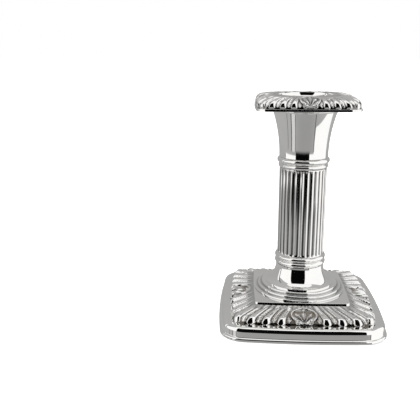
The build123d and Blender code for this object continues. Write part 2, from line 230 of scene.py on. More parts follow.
def lathe(name, profile, body, node, material, turns=288, shade_and_tarnish=None):
    """Turns a closed profile about Z. A profile that starts and ends on the axis makes a solid disc."""
    profile = np.asarray(profile, float)
    angle = np.arange(turns) * 2 * pi / turns
    on_axis = profile[0, 0] < 1e-6 and profile[-1, 0] < 1e-6
    walls = profile[1:-1] if on_axis else profile
    ring = np.stack(
        [
            walls[:, :1] * np.cos(angle),
            walls[:, :1] * np.sin(angle),
            np.repeat(walls[:, 1:], turns, axis=1),
        ],
        axis=-1,
    ).reshape(-1, 3)
    faces = loop_faces(len(walls), turns)
    if on_axis:
        faces = faces[: (len(walls) - 1) * turns]
        bottom, top = len(ring), len(ring) + 1
        ring = np.vstack([ring, [0, 0, profile[0, 1]], [0, 0, profile[-1, 1]]])
        last = (len(walls) - 1) * turns
        for step in range(turns):
            after = (step + 1) % turns
            faces.append([bottom, after, step])
            faces.append([top, last + step, last + after])
    shade_and_tarnish = None if shade_and_tarnish is None else np.repeat(shade_and_tarnish, turns)
    return add_piece(name, ring, faces, body, node, material, shade_and_tarnish=shade_and_tarnish)


def moulding(name, profile, outline, body, node, material, steps=48):
    """Carries a closed profile of (inset, height) round a bowed square given as (half, corner, bow)."""
    profile = np.asarray(profile, float)
    half_width, corner, bow = outline
    inset = profile[:, 0]
    x, y = around(half_width - inset, corner - inset, bow - inset, steps)
    z = np.repeat(profile[:, 1:], x.shape[1], axis=1)
    points = np.stack([x, y, z], axis=-1).reshape(-1, 3)
    return add_piece(name, points, loop_faces(*x.shape), body, node, material)


# ---- node helpers ----
class Nodes:
    """Short calls for building a node tree."""

    def __init__(self, tree):
        self.tree = tree
        tree.nodes.clear()

    def add(self, kind, **settings):
        node = self.tree.nodes.new(kind)
        for name, value in settings.items():
            setattr(node, name, value)
        return node

    def link(self, source, target):
        self.tree.links.new(source, target)

    def feed(self, socket, value):
        """Links the value if it is a socket, and sets it if it is a number or a colour."""
        if isinstance(value, bpy.types.NodeSocket):
            self.link(value, socket)
        else:
            socket.default_value = value

    def math(self, operation, first, second=0.0, clamp=False):
        node = self.add("ShaderNodeMath", operation=operation, use_clamp=clamp)
        self.feed(node.inputs[0], first)
        self.feed(node.inputs[1], second)
        return node.outputs[0]

    def fold(self, operation, *values):
        """One operation carried through several values, such as their product or the largest."""
        result = values[0]
        for value in values[1:]:
            result = self.math(operation, result, value)
        return result

    def rise(self, value, start, end):
        """0 below start, 1 above end, smooth between. Swapped ends give a fall."""
        node = self.add("ShaderNodeMapRange", interpolation_type="SMOOTHSTEP")
        self.feed(node.inputs["Value"], value)
        flip = end < start
        node.inputs["From Min"].default_value = min(start, end)
        node.inputs["From Max"].default_value = max(start, end)
        node.inputs["To Min"].default_value = 1.0 if flip else 0.0
        node.inputs["To Max"].default_value = 0.0 if flip else 1.0
        return node.outputs["Result"]

    def window(self, value, start, end, soft=1.0):
        """1 between start and end and 0 elsewhere, with edges as wide as soft."""
        return self.math(
            "MULTIPLY",
            self.rise(value, start - soft / 2, start + soft / 2),
            self.rise(value, end + soft / 2, end - soft / 2),
        )

    def blend(self, share, first, second):
        """first + share * (second - first), for numbers."""
        node = self.add("ShaderNodeMix", data_type="FLOAT")
        self.feed(node.inputs[0], share)
        self.feed(node.inputs[2], first)
        self.feed(node.inputs[3], second)
        return node.outputs[0]

    def tint(self, share, first, second):
        """The same as blend, for colours."""
        node = self.add("ShaderNodeMix", data_type="RGBA")
        self.feed(node.inputs[0], share)
        self.feed(node.inputs[6], first)
        self.feed(node.inputs[7], second)
        return node.outputs[2]

    def place(self, scale=(1, 1, 1)):
        """Place on the object in metres, stretched by scale."""
        node = self.add("ShaderNodeMapping")
        node.inputs["Scale"].default_value = scale
        self.link(self.add("ShaderNodeTexCoord").outputs["Object"], node.inputs["Vector"])
        return node.outputs["Vector"]

    def noise(self, scale, detail=2.0, roughness=0.5, stretch=(1, 1, 1)):
        node = self.add("ShaderNodeTexNoise")
        self.link(self.place(stretch), node.inputs["Vector"])
        node.inputs["Scale"].default_value = scale
        node.inputs["Detail"].default_value = detail
        node.inputs["Roughness"].default_value = roughness
        return node.outputs["Fac"]

    def bump(self, height, strength, distance, normal=None):
        node = self.add("ShaderNodeBump")
        node.inputs["Strength"].default_value = strength
        node.inputs["Distance"].default_value = distance
        self.link(height, node.inputs["Height"])
        if normal is not None:
            self.link(normal, node.inputs["Normal"])
        return node.outputs["Normal"]


def new_material(name, metallic=0.0):
    material = bpy.data.materials.new(name)
    material.use_nodes = True
    nodes = Nodes(material.node_tree)
    shader = nodes.add("ShaderNodeBsdfPrincipled")
    shader.inputs["Metallic"].default_value = metallic
    out = nodes.add("ShaderNodeOutputMaterial")
    nodes.link(shader.outputs[0], out.inputs["Surface"])
    return material, nodes, shader


def silver_material(name, shade_and_tarnish_amount, wobble):
    """Polished silver: handling scratches, faint planishing, and darker metal in the hollows, partly
    tarnished silver and partly painted shade.
    """
    material, nodes, shader = new_material(name, metallic=1.0)
    shade_and_tarnish = nodes.add("ShaderNodeAttribute", attribute_name="shade_and_tarnish").outputs["Fac"]
    cloud = nodes.noise(90.0, 3.0)
    # how far the colour goes to the dark grey: the per-point map times the amount, partly tarnished silver
    # and partly painted shade
    left = nodes.math("MULTIPLY", shade_and_tarnish, nodes.blend(cloud, shade_and_tarnish_amount * 0.7, shade_and_tarnish_amount * 1.3), clamp=True)
    bright = nodes.tint(nodes.rise(cloud, 0.35, 0.7), (0.945, 0.940, 0.930, 1), (0.915, 0.912, 0.903, 1))
    nodes.link(nodes.tint(left, bright, (0.10, 0.098, 0.095, 1)), shader.inputs["Base Color"])
    fine = nodes.noise(2600.0, 2.0, 0.6, (1.0, 0.12, 1.0))
    cross = nodes.noise(2400.0, 2.0, 0.6, (0.15, 1.0, 0.6))
    scratch = nodes.math("MULTIPLY", nodes.rise(fine, 0.62, 0.78), nodes.rise(cross, 0.35, 0.65))
    rough = nodes.math("ADD", nodes.blend(cloud, 0.025, 0.06), nodes.math("MULTIPLY", scratch, 0.08))
    nodes.link(nodes.math("ADD", rough, nodes.math("MULTIPLY", left, 0.06)), shader.inputs["Roughness"])
    hammered = nodes.bump(nodes.noise(85.0, 1.0), wobble, 0.0006)
    nodes.link(nodes.bump(scratch, 0.05, 0.00002, hammered), shader.inputs["Normal"])
    return material


def baize_material():
    """Green baize: felted wool, with short fibres in every direction."""
    material, nodes, shader = new_material("baize_felt")
    fibre = nodes.noise(2200.0, 4.0, 0.7)
    patch = nodes.noise(60.0, 3.0)
    colour = nodes.tint(nodes.rise(fibre, 0.3, 0.7), (0.010, 0.055, 0.030, 1), (0.035, 0.130, 0.075, 1))
    colour = nodes.tint(nodes.rise(patch, 0.55, 0.8), colour, (0.05, 0.12, 0.07, 1))
    nodes.link(colour, shader.inputs["Base Color"])
    shader.inputs["Roughness"].default_value = 0.95
    shader.inputs["Sheen Weight"].default_value = 0.35
    nodes.link(nodes.bump(fibre, 0.6, 0.0002), shader.inputs["Normal"])
    return material


def board_material():
    """Sawn softwood board, with grain along X."""
    material, nodes, shader = new_material("softwood")
    wave = nodes.add("ShaderNodeTexWave", wave_type="BANDS", bands_direction="Y")
    nodes.link(nodes.place((0.15, 1, 1)), wave.inputs["Vector"])
    wave.inputs["Scale"].default_value = 120.0
    wave.inputs["Distortion"].default_value = 4.0
    wave.inputs["Detail"].default_value = 3.0
    pore = nodes.noise(900.0, 3.0, 0.6, (0.08, 1, 1))
    colour = nodes.tint(wave.outputs["Fac"], (0.42, 0.26, 0.13, 1), (0.60, 0.42, 0.24, 1))
    dark = nodes.math("MULTIPLY", nodes.rise(pore, 0.45, 0.3), 0.6)
    nodes.link(nodes.tint(dark, colour, (0.20, 0.11, 0.05, 1)), shader.inputs["Base Color"])
    shader.inputs["Roughness"].default_value = 0.75
    nodes.link(nodes.bump(pore, 0.4, 0.0001), shader.inputs["Normal"])
    return material


def filling_material():
    """Pitch and plaster filling, poured and grainy."""
    material, nodes, shader = new_material("filling_pitch")
    grain = nodes.noise(700.0, 5.0, 0.7)
    lump = nodes.noise(120.0, 2.0)
    colour = nodes.tint(grain, (0.10, 0.085, 0.07, 1), (0.24, 0.21, 0.18, 1))
    colour = nodes.tint(nodes.rise(lump, 0.5, 0.8), colour, (0.32, 0.29, 0.25, 1))
    nodes.link(colour, shader.inputs["Base Color"])
    nodes.link(nodes.blend(grain, 0.55, 0.9), shader.inputs["Roughness"])
    nodes.link(nodes.bump(grain, 0.5, 0.0003), shader.inputs["Normal"])
    return material


def steel_material():
    """Turned mild steel with a little rust bloom."""
    material, nodes, shader = new_material("turned_steel", metallic=0.9)
    ring = nodes.noise(1500.0, 2.0, 0.5, (0.1, 0.1, 1))
    bloom = nodes.noise(160.0, 4.0, 0.65)
    rust = nodes.math("MULTIPLY", nodes.rise(bloom, 0.6, 0.75), 0.5)
    colour = nodes.tint(ring, (0.32, 0.32, 0.33, 1), (0.50, 0.50, 0.51, 1))
    nodes.link(nodes.tint(rust, colour, (0.16, 0.07, 0.03, 1)), shader.inputs["Base Color"])
    nodes.link(nodes.blend(ring, 0.28, 0.45), shader.inputs["Roughness"])
    nodes.link(nodes.bump(ring, 0.3, 0.00005), shader.inputs["Normal"])
    return material


# ---- camera, studio and floor ----
def make_camera():
    """Seen from a little above and left of the front, as the right-hand stick of a pair."""
    data = bpy.data.cameras.new("camera")
    data.sensor_width = 36.0
    data.lens = 54.19
    data.clip_start = 0.01
    camera = bpy.data.objects.new("camera", data)
    swing, dip = 0.0513, 0.2571  # radians, to the left and below the horizon
    turn = Matrix.Rotation(swing, 4, "Z") @ Matrix.Rotation(pi / 2 - dip, 4, "X")
    station = Vector((-0.03465, -0.35517, 0.15471))
    camera.matrix_world = Matrix.Translation(station) @ turn
    bpy.context.scene.collection.objects.link(camera)
    bpy.context.scene.camera = camera


def make_studio():
    """A dark room behind the camera, softboxes at both sides and overhead, and a grey wall behind.

    Only the silver mirrors it, and the camera sees plain white. Azimuth is 0 towards -Y and grows
    towards +X, and elevation is 0 at the horizon, both in degrees.
    """
    world = bpy.data.worlds.new("studio")
    bpy.context.scene.world = world
    world.use_nodes = True
    nodes = Nodes(world.node_tree)
    parts = nodes.add("ShaderNodeSeparateXYZ")
    nodes.link(nodes.add("ShaderNodeTexCoord").outputs["Generated"], parts.inputs[0])
    x, y, z = parts.outputs
    per_radian = 180 / pi
    azimuth = nodes.math("ARCTAN2", x, nodes.math("MULTIPLY", y, -1.0))
    azimuth = nodes.math("MULTIPLY", azimuth, per_radian)
    elevation = nodes.math("MULTIPLY", nodes.math("ARCSINE", z), per_radian)
    sideways = nodes.math("ABSOLUTE", azimuth)

    wall = nodes.blend(nodes.rise(elevation, 0.0, 60.0), 0.40, 0.46)
    table = nodes.blend(nodes.rise(sideways, 10.0, 80.0), 0.33, 0.43)
    light = nodes.blend(nodes.rise(elevation, -9.0, -17.0), wall, table)
    top_edge = nodes.blend(nodes.rise(sideways, 50.0, 110.0), 45.0, 82.0)
    above = nodes.rise(nodes.math("SUBTRACT", elevation, top_edge), -2.0, 3.0)
    light = nodes.blend(above, light, 1.0)

    # the dark room
    room_foot = nodes.rise(elevation, -17.0, -13.5)
    room_height = nodes.fold("MULTIPLY", room_foot, nodes.rise(elevation, 51.0, 49.0))
    room = nodes.fold("MULTIPLY", nodes.window(azimuth, -42.6, 21.8), room_height)
    light = nodes.blend(room, light, 0.002)

    # the softboxes, with a narrow strip beside the left one
    left_top = nodes.blend(nodes.rise(azimuth, -98.0, -60.0), 18.0, 48.0)
    under_top = nodes.rise(nodes.math("SUBTRACT", elevation, left_top), 1.0, -1.0)
    over_foot = nodes.rise(elevation, -13.0, -12.0)
    left = nodes.fold("MULTIPLY", nodes.window(azimuth, -98.0, -42.6), over_foot, under_top)
    strip_width = nodes.window(azimuth, -109.0, -101.5)
    strip = nodes.fold("MULTIPLY", strip_width, nodes.window(elevation, -10.0, 30.0))
    right_bottom = nodes.blend(nodes.rise(azimuth, 40.0, 46.0), -14.0, -31.0)
    over_bottom = nodes.rise(nodes.math("SUBTRACT", elevation, right_bottom), -0.5, 0.5)
    right_top = nodes.rise(elevation, 46.5, 45.5)
    right = nodes.fold("MULTIPLY", nodes.window(azimuth, 21.8, 121.0), right_top, over_bottom)
    light = nodes.blend(nodes.fold("MAXIMUM", left, strip, right), light, 1.05)

    # their dark frames, then the light they throw on the table, and their stands
    frames = nodes.fold("MAXIMUM", nodes.window(azimuth, -101.5, -98.0), nodes.window(azimuth, 121.0, 124.0))
    frames = nodes.fold("MULTIPLY", frames, nodes.window(elevation, -12.0, 48.0))
    light = nodes.blend(frames, light, 0.03)

    below = nodes.window(elevation, -40.0, -15.0)
    bounce = nodes.fold("MULTIPLY", nodes.window(azimuth, -62.0, -47.5), below)
    light = nodes.blend(bounce, light, 0.68)
    edges = ((39.5, 42.5), (-47.0, -45.0), (-66.0, -62.5), (-84.0, -82.0))
    stands = nodes.fold("MAXIMUM", *[nodes.window(azimuth, *edge) for edge in edges])
    light = nodes.blend(nodes.fold("MULTIPLY", stands, below), light, 0.10)

    to_camera = nodes.add("ShaderNodeLightPath").outputs["Is Camera Ray"]
    light = nodes.blend(to_camera, light, 1.0)
    colour = nodes.add("ShaderNodeCombineColor")
    for channel, share in zip(colour.inputs, (1.0, 0.997, 0.988)):
        nodes.link(nodes.math("MULTIPLY", light, nodes.blend(to_camera, share, 1.0)), channel)
    background = nodes.add("ShaderNodeBackground")
    nodes.link(colour.outputs[0], background.inputs["Color"])
    nodes.link(background.outputs[0], nodes.add("ShaderNodeOutputWorld").inputs["Surface"])
    bpy.context.scene.view_settings.view_transform = "Standard"


def make_floor():
    """Pale seamless floor. The silver mirrors the studio's grey table instead of it."""
    mesh = bpy.data.meshes.new("floor")
    reach = 6.0
    corners = [(-reach, -reach, 0), (reach, -reach, 0), (reach, reach, 0), (-reach, reach, 0)]
    mesh.from_pydata(corners, [], [(0, 1, 2, 3)])
    floor = bpy.data.objects.new("floor", mesh)
    bpy.context.scene.collection.objects.link(floor)
    material, _, shader = new_material("pale_paper")
    shader.inputs["Base Color"].default_value = (0.92, 0.92, 0.92, 1)
    shader.inputs["Roughness"].default_value = 1.0
    shader.inputs["Specular IOR Level"].default_value = 0.0
    shader.inputs["Emission Color"].default_value = (1, 1, 1, 1)
    shader.inputs["Emission Strength"].default_value = 0.55
    mesh.materials.append(material)
    floor.visible_glossy = False
    lamp = bpy.data.lights.new("overhead", "AREA")
    lamp.size = 1.6
    lamp.energy = 22.0
    light = bpy.data.objects.new("overhead", lamp)
    light.location = (0, -0.1, 1.6)
    light.visible_glossy = False
    light.visible_camera = False
    bpy.context.scene.collection.objects.link(light)


# ---- gadroon relief ----
def dome(distance, width):
    """1 on the middle line, falling to 0 at width as a half circle does."""
    return np.sqrt(np.clip(1 - (distance / width) ** 2, 0, 1))


def half_circle(reach):
    """Rises from 0 to 1 as the top of a circle does, for the rounded end of a lobe or leaf."""
    return np.sqrt(np.clip(1 - (1 - reach) ** 2, 0, 1))


def gadroon_relief(along, rise):
    """Lobes and leaf tongues by turns, four of each from the shell to the corner, leaning as they rise."""
    step = 2 / 9
    lean = 0.075 * (1 - along**3) * rise**1.6
    lobe_at = (along + lean) / step - 1.5
    lobe_off = (lobe_at - np.clip(np.round(lobe_at), 0, 3)) * step
    leaf_at = (along + lean) / step - 1
    leaf_off = (leaf_at - np.clip(np.round(leaf_at), 0, 3)) * step

    lobe_tip = 0.09  # how far up the border a lobe's round end reaches
    lobe_end = half_circle(np.minimum(rise, lobe_tip) / lobe_tip)
    lobe_width = 0.064 * (1 - 0.42 * rise) * (0.35 + 0.65 * lobe_end)
    lobe = dome(lobe_off, lobe_width) ** 0.6

    leaf_start, leaf_full = 0.07, 0.30
    leaf_end = half_circle((np.clip(rise, leaf_start, leaf_full) - leaf_start) / (leaf_full - leaf_start))
    leaf_width = 0.043 * (1 - 0.45 * rise) * np.maximum(leaf_end, 1e-3)
    veins = 0.70 + 0.30 * np.cos(2 * pi * leaf_off / (0.86 * leaf_width))
    leaf = dome(leaf_off, leaf_width) ** 0.7 * veins
    leaf = np.where(rise < leaf_start, 0, leaf) * 0.92

    inner_fade = np.clip((1 - rise) / 0.30, 0, 1) ** 0.7
    return np.maximum(lobe, leaf) * inner_fade


def relief(share, rise, run, shell_width):
    """Height of the chased border, from 0 in the hollows to about 1 on the lobes.

    share is the signed place along a side (1 at the corner), rise goes from 0 at the outer edge to 1 at
    the inner one, run is the same place as share in millimetres, and shell_width is half the shell's width.
    """
    across = run / shell_width
    up = (rise - 0.47) / 0.43
    radius = np.hypot(across, up)
    ring = 1.3 * dome(radius - 0.91, 0.10) * np.clip((up + 1.02) / 0.12, 0, 1)
    curl_radius = np.hypot(np.abs(across) - 0.45, up + 0.80)
    curl = 0.85 * np.maximum(dome(curl_radius - 0.17, 0.07), dome(curl_radius, 0.07))

    spacing, rib_width = 27, 11.0  # degrees, round the foot of the fan
    fan_up = up + 0.92
    fan_angle = np.degrees(np.arctan2(across, fan_up))
    fan_reach = np.hypot(across, fan_up)
    rib_off = fan_angle - spacing * np.clip(np.round(fan_angle / spacing), -2, 2)
    rib_end = 1.42 - 0.0032 * np.abs(fan_angle)
    tip = np.sqrt(np.clip((rib_end - fan_reach) / 0.28, 0, 1))
    rib = dome(rib_off, rib_width * np.clip(tip, 0.05, 1)) * tip * np.clip(fan_reach / 0.25, 0, 1)
    rib = rib * (0.82 + 0.18 * np.cos(2 * pi * rib_off / 13.0))
    boss = dome(np.hypot(across, up - 0.66), 0.16)

    inside = np.maximum(np.maximum(rib * 0.95, boss * 0.8), curl)
    inside = np.where(radius < 0.83, inside, np.where(up < -0.72, curl, 0))
    shell = np.maximum(ring, inside)
    outside = gadroon_relief(np.abs(share), rise) * np.clip((radius - 1.0) / 0.16, 0, 1)
    below = (np.abs(across) < 0.8) & (up < 0)
    return np.where(radius < 1.0, shell, np.where(below, curl, outside))


def chased_border(name, outer, inner, profiles, shell_width, steps, rows, body, node, material):
    """A cushion border whose surface runs between a ground and a crest profile as the relief rises.

    outer and inner are (half, corner, bow) at the two edges. profiles are the ground, the crest and the
    underside, each a list of (inset from the outer edge, height). A side has 2 * steps columns of points,
    and the relief has the given rows.
    """
    ground, crest, under = profiles
    ground = smooth_path(ground, rows)
    crest = smooth_path(crest, rows)
    rise = np.linspace(0, 1, rows)[:, None]
    signed = (np.arange(-steps, steps) / steps)[None, :]
    inward = (ground[:, :1] * np.ones_like(signed)) / ground[-1, 0]
    outline = [outer[i] + (inner[i] - outer[i]) * inward for i in range(3)]
    _, _, length = bowed_square(*outline, np.abs(signed))
    height = relief(signed * np.ones_like(rise), rise * np.ones_like(signed), signed * length, shell_width)
    inset = ground[:, :1] + (crest[:, :1] - ground[:, :1]) * height
    z = ground[:, 1:] + (crest[:, 1:] - ground[:, 1:]) * height
    inward = inset / ground[-1, 0]
    outline = [outer[i] + (inner[i] - outer[i]) * inward for i in range(3)]
    x, y, _ = bowed_square(*outline, np.abs(signed))
    x, y = four_sides(x, y * np.sign(signed))
    z = np.hstack([z] * 4)
    # painted shade and tarnish: darker in the ground between lobes and shell ribs, more so towards the outer
    # edge
    shade_and_tarnish_amount = np.clip(1.2 - height * 1.9, 0, 1) * np.clip(1.7 - rise * 1.2, 0.3, 1)
    shade_and_tarnish = np.hstack([shade_and_tarnish_amount] * 4)

    under = np.asarray(under, float)
    inward = under[:, 0] / ground[-1, 0]
    outline = [outer[i] + (inner[i] - outer[i]) * inward for i in range(3)]
    under_x, under_y = around(*outline, steps)
    under_z = np.repeat(under[:, 1:], x.shape[1], axis=1)
    points = np.stack(
        [np.vstack([x, under_x]), np.vstack([y, under_y]), np.vstack([z, under_z])], axis=-1
    ).reshape(-1, 3)
    shade_and_tarnish = np.vstack([shade_and_tarnish, np.zeros_like(under_x)]).ravel()
    faces = loop_faces(rows + len(under), x.shape[1])
    return add_piece(name, points, faces, body, node, material, sharp=60.0, shade_and_tarnish=shade_and_tarnish)


# ---- the stick and the nozzle ----
def make_base(silver, relief_silver, baize):
    """The foot, the plinth, the chased border and the platform, with the baize underneath."""
    base_half = half("foot_moulding")
    foot_bottom, foot_top = low("foot_moulding"), high("foot_moulding")
    plinth_half = half("plinth_moulding")
    ledge = high("plinth_moulding")
    border_half = half("gadroon_border")
    platform_half = half("platform_plate")
    platform_bottom = low("platform_plate")
    outline = (base_half, BASE_CORNER, SIDE_BOW)

    wall = base_half - plinth_half
    foot = [(0, foot_bottom, 0.5), (0, foot_top, FOOT_ROUND)]
    foot += [(FOOT_DEPTH, foot_top, 0), (FOOT_DEPTH, foot_bottom, 0)]
    foot = rounded(foot, steps=8, guard=0.04)
    moulding("foot_bead", foot, outline, "stick", "foot_moulding", silver)
    crown = wall + OVOLO_WIDTH
    ovolo_foot = ledge - OVOLO_DROP
    ledge_end = base_half - border_half + SHEET
    outer_curve = arc((crown, ovolo_foot), -OVOLO_WIDTH, OVOLO_DROP, 0, 90, 16)
    inner_curve = arc((crown, ovolo_foot), SHEET - OVOLO_WIDTH, OVOLO_DROP - SHEET, 90, 0, 6)
    plinth = np.vstack(
        [
            [(wall, foot_top), (wall, ovolo_foot - 0.05)],
            outer_curve,
            [(crown + 0.05, ledge), (ledge_end, ledge), (ledge_end, ledge - SHEET)],
            inner_curve,
            [(wall + SHEET, foot_top)],
        ]
    )
    moulding("plinth_ovolo", plinth, outline, "stick", "plinth_moulding", silver)

    depth = border_half - platform_half
    full = platform_bottom - ledge
    ground = [(0.9, 0), (1.0, 0.8), (1.4, 1.6), (2.3, 2.3), (4.3, 2.9), (6.8, 3.6)]
    ground += [(9.8, 4.5), (12.2, 5.35), (depth, full)]
    crest = [(-0.25, 0), (-0.05, 1.6), (0.4, 2.95), (1.1, 3.85), (2.6, 4.35), (5.0, 4.7)]
    crest += [(7.6, 5.0), (10.8, 5.5), (depth, full)]
    under = [(depth, full - 0.7), (9, 3.5), (5, 2.3), (2.7, 1.6), (1.8, 0.7), (1.7, 0)]
    chased_border(
        "gadroon_border_chased",
        (border_half, BASE_CORNER - (base_half - border_half), SIDE_BOW),
        (platform_half, PLATFORM_CORNER, PLATFORM_BOW),
        raised((ground, crest, under), ledge),
        shell_width=7.2,
        steps=180,
        rows=64,
        body="stick",
        node="gadroon_border",
        material=relief_silver,
    )
    make_platform(silver)
    make_baize(baize, base_half)


def raised(profiles, level):
    """The profiles, with level added to their heights."""
    return [[(inset, level + rise) for inset, rise in profile] for profile in profiles]


def make_platform(silver):
    """A square plate with a crisp, slightly slanting edge and a round hole under the steps."""
    platform_half = half("platform_plate")
    bottom, top = low("platform_plate"), high("platform_plate")
    edge = [(0, bottom, 0.1), (0.3, top, 0.3), (1.5, top, 0), (1.5, bottom, 0)]
    edge = rounded(edge, 5, 0.03)[:-2]
    inset = edge[:, 0]
    x, y = around(platform_half - inset, PLATFORM_CORNER - inset, PLATFORM_BOW - inset, 48)
    z = np.repeat(edge[:, 1:], x.shape[1], axis=1)
    angle = np.arctan2(y[-1], x[-1])
    ring_x, ring_y = PLATFORM_HOLE * np.cos(angle), PLATFORM_HOLE * np.sin(angle)
    x = np.vstack([x, x[-1] * 0.97, ring_x, ring_x, x[0] * 0.97])
    y = np.vstack([y, y[-1] * 0.97, ring_y, ring_y, y[0] * 0.97])
    z = np.vstack([z] + [np.full((1, x.shape[1]), level) for level in (top, top, bottom, bottom)])
    points = np.stack([x, y, z], axis=-1).reshape(-1, 3)
    add_piece("platform", points, loop_faces(*x.shape), "stick", "platform_plate", silver)


def make_baize(baize, base_half):
    """A felt pad: rings of points from its edge to its middle on both faces, each closed by one face."""
    top = high("baize_pad")
    inset = base_half - half("baize_pad")
    widths = [1.0, 0.995, 0.8, 0.4, 0.02]
    widths += widths[::-1]
    levels = [0.0] * 5 + [top] * 5
    x, y = around([base_half - inset], [BASE_CORNER - inset], [SIDE_BOW - inset], 48)
    x = np.vstack([x * width for width in widths])
    y = np.vstack([y * width for width in widths])
    z = np.repeat(np.array(levels)[:, None], x.shape[1], axis=1)
    points = np.stack([x, y, z], axis=-1).reshape(-1, 3)
    columns = x.shape[1]
    faces = [face for face in loop_faces(*x.shape) if {face[0] // columns, face[2] // columns} != {4, 5}]
    faces.append([4 * columns + column for column in range(columns)])
    faces.append([5 * columns + column for column in reversed(range(columns))])
    add_piece("baize", points, faces, "stick", "baize_pad", baize)


def make_foot_and_collars(silver):
    """Three circular steps, the bell above them, and the beads above and below the column."""
    platform_top = high("platform_plate")
    ring_radius = half("stepped_ring")
    ring_top = high("stepped_ring")
    bell_radius = half("spreading_foot")
    tread = (ring_radius - bell_radius) / 3
    scale = (ring_top - platform_top) / sum(RING_RISES)
    corners = [(bell_radius - SHEET, platform_top, 0), (ring_radius, platform_top, 0)]
    level = platform_top
    for count, rise in enumerate(RING_RISES):
        level += rise * scale
        radius = ring_radius - tread * count
        corners.append((radius, level, 0.75))
        following = radius - tread if count < 2 else bell_radius - SHEET
        corners.append((following, level, 0.3 if count < 2 else 0))
    steps = rounded(corners, 6, 0.04)
    walls = ring_radius - tread * np.arange(3)
    wall_feet = platform_top + np.cumsum([0, *RING_RISES[:-1]]) * scale
    by_wall = np.abs(steps[:, :1] - walls) < 0.35
    over_foot = steps[:, 1:] - wall_feet
    by_foot = (over_foot > -0.05) & (over_foot < 0.5)
    # painted shade and tarnish in the corner where each step's riser meets the tread below
    painted_shade_and_tarnish = np.where(by_wall.any(axis=1) & by_foot.any(axis=1), 0.9, 0.0)
    lathe("foot_steps", steps, "stick", "stepped_ring", silver, 320, painted_shade_and_tarnish)

    bottom, top = low("spreading_foot"), high("spreading_foot")
    neck = half("fluted_column") + NECK_STAND
    spread = bell_radius - neck
    outer = arc((bell_radius, top), spread, top - bottom - SHEET, 180, 270, 40)
    inner = arc((bell_radius - SHEET, top), spread, top - bottom, 270, 180, 24)
    profile = np.vstack([outer, [(bell_radius, bottom + SHEET - 0.05), (bell_radius, bottom)], inner])
    lathe("foot_flare", profile, "stick", "spreading_foot", silver, 288)

    bore = half("fluted_column") - COLUMN_WALL
    for place in ("lower_collar_bottom", "lower_collar_top", "upper_collar_bottom", "upper_collar_top"):
        node = f"{place}_bead"
        bottom, top = low(node), high(node)
        round_radius = (top - bottom) / 2
        middle = (bottom + top) / 2
        nose = arc((half(node) - round_radius, middle), round_radius, round_radius, -90, 90, 24)
        profile = np.vstack([[(bore, bottom)], nose, [(bore, top)]])
        lathe(f"{place}_ring", profile, "stick", node, silver)


def make_column(silver):
    """Flutes with ball ends, cut by a round tool, with flat fillets between them."""
    radius = half("fluted_column")
    bottom, top = low("fluted_column"), high("fluted_column")
    bore = radius - COLUMN_WALL
    cutter_circle = radius + FLUTE_RADIUS - FLUTE_DEPTH
    half_width = sqrt(FLUTE_RADIUS**2 - (FLUTE_RADIUS - FLUTE_DEPTH) ** 2)
    lower_centre = bottom + FLUTE_BAND + half_width  # where the straight part of a flute starts
    upper_centre = top - FLUTE_BAND - half_width
    end_run = half_width * (1 - np.sin(np.linspace(0, pi / 2, 10)))
    first = bottom + FLUTE_BAND + end_run[::-1]
    last = top - FLUTE_BAND - end_run
    straight = np.linspace(first[-1], last[0], 14)[1:-1]
    edge_band = FLUTE_BAND * 0.6
    levels = np.r_[bottom, bottom + edge_band, first, straight, last, top - edge_band, top]
    share = np.linspace(-1, 1, 15)
    pitch = 2 * pi / FLUTE_COUNT
    rows = []
    shade_and_tarnish = []
    for z in levels:
        gap = max(lower_centre - z, z - upper_centre, 0.0)
        cutter = sqrt(max(FLUTE_RADIUS**2 - gap**2, 0.0))
        reach = (radius**2 + cutter_circle**2 - cutter**2) / (2 * radius * cutter_circle)
        edge = max(acos(min(reach, 1.0)), 0.004)
        angle = share * edge
        inside = cutter**2 - (cutter_circle * np.sin(angle)) ** 2
        cut = cutter_circle * np.cos(angle) - np.sqrt(np.clip(inside, 0, None))
        flute = np.where(inside > 0, np.minimum(cut, radius), radius)
        flute[[0, -1]] = radius
        ridge = np.array([0.12, 0.5, 0.88]) * (pitch - 2 * edge) + edge
        angles = np.r_[angle, ridge]
        wear = RIDGE_WEAR * min(1.0, cutter / FLUTE_RADIUS)
        flute = np.minimum(flute, radius - wear)
        radii = np.r_[flute, radius - wear * 0.42, radius, radius - wear * 0.42]
        turns = (np.arange(FLUTE_COUNT)[:, None] * pitch + angles[None, :]).ravel() - pi / 2
        radii = np.tile(radii, FLUTE_COUNT)
        rows.append(np.column_stack([radii * np.cos(turns), radii * np.sin(turns), np.full(len(turns), z)]))
        # painted shade and tarnish down the middle of each flute, none on the ridges
        painted_shade_and_tarnish = np.r_[np.exp(-((np.abs(share) / 0.52) ** 4)), 0, 0, 0]
        shade_and_tarnish.append(np.tile(painted_shade_and_tarnish, FLUTE_COUNT))
    columns = len(rows[0])
    turns = np.arctan2(rows[0][:, 1], rows[0][:, 0])
    for z in (top, bottom):
        rows.append(np.column_stack([bore * np.cos(turns), bore * np.sin(turns), np.full(columns, z)]))
        shade_and_tarnish.append(np.zeros(columns))
    faces = loop_faces(len(rows), columns)
    shade_and_tarnish = np.concatenate(shade_and_tarnish)
    add_piece("column_flutes", np.vstack(rows), faces, "stick", "fluted_column", silver, 30.0, shade_and_tarnish)


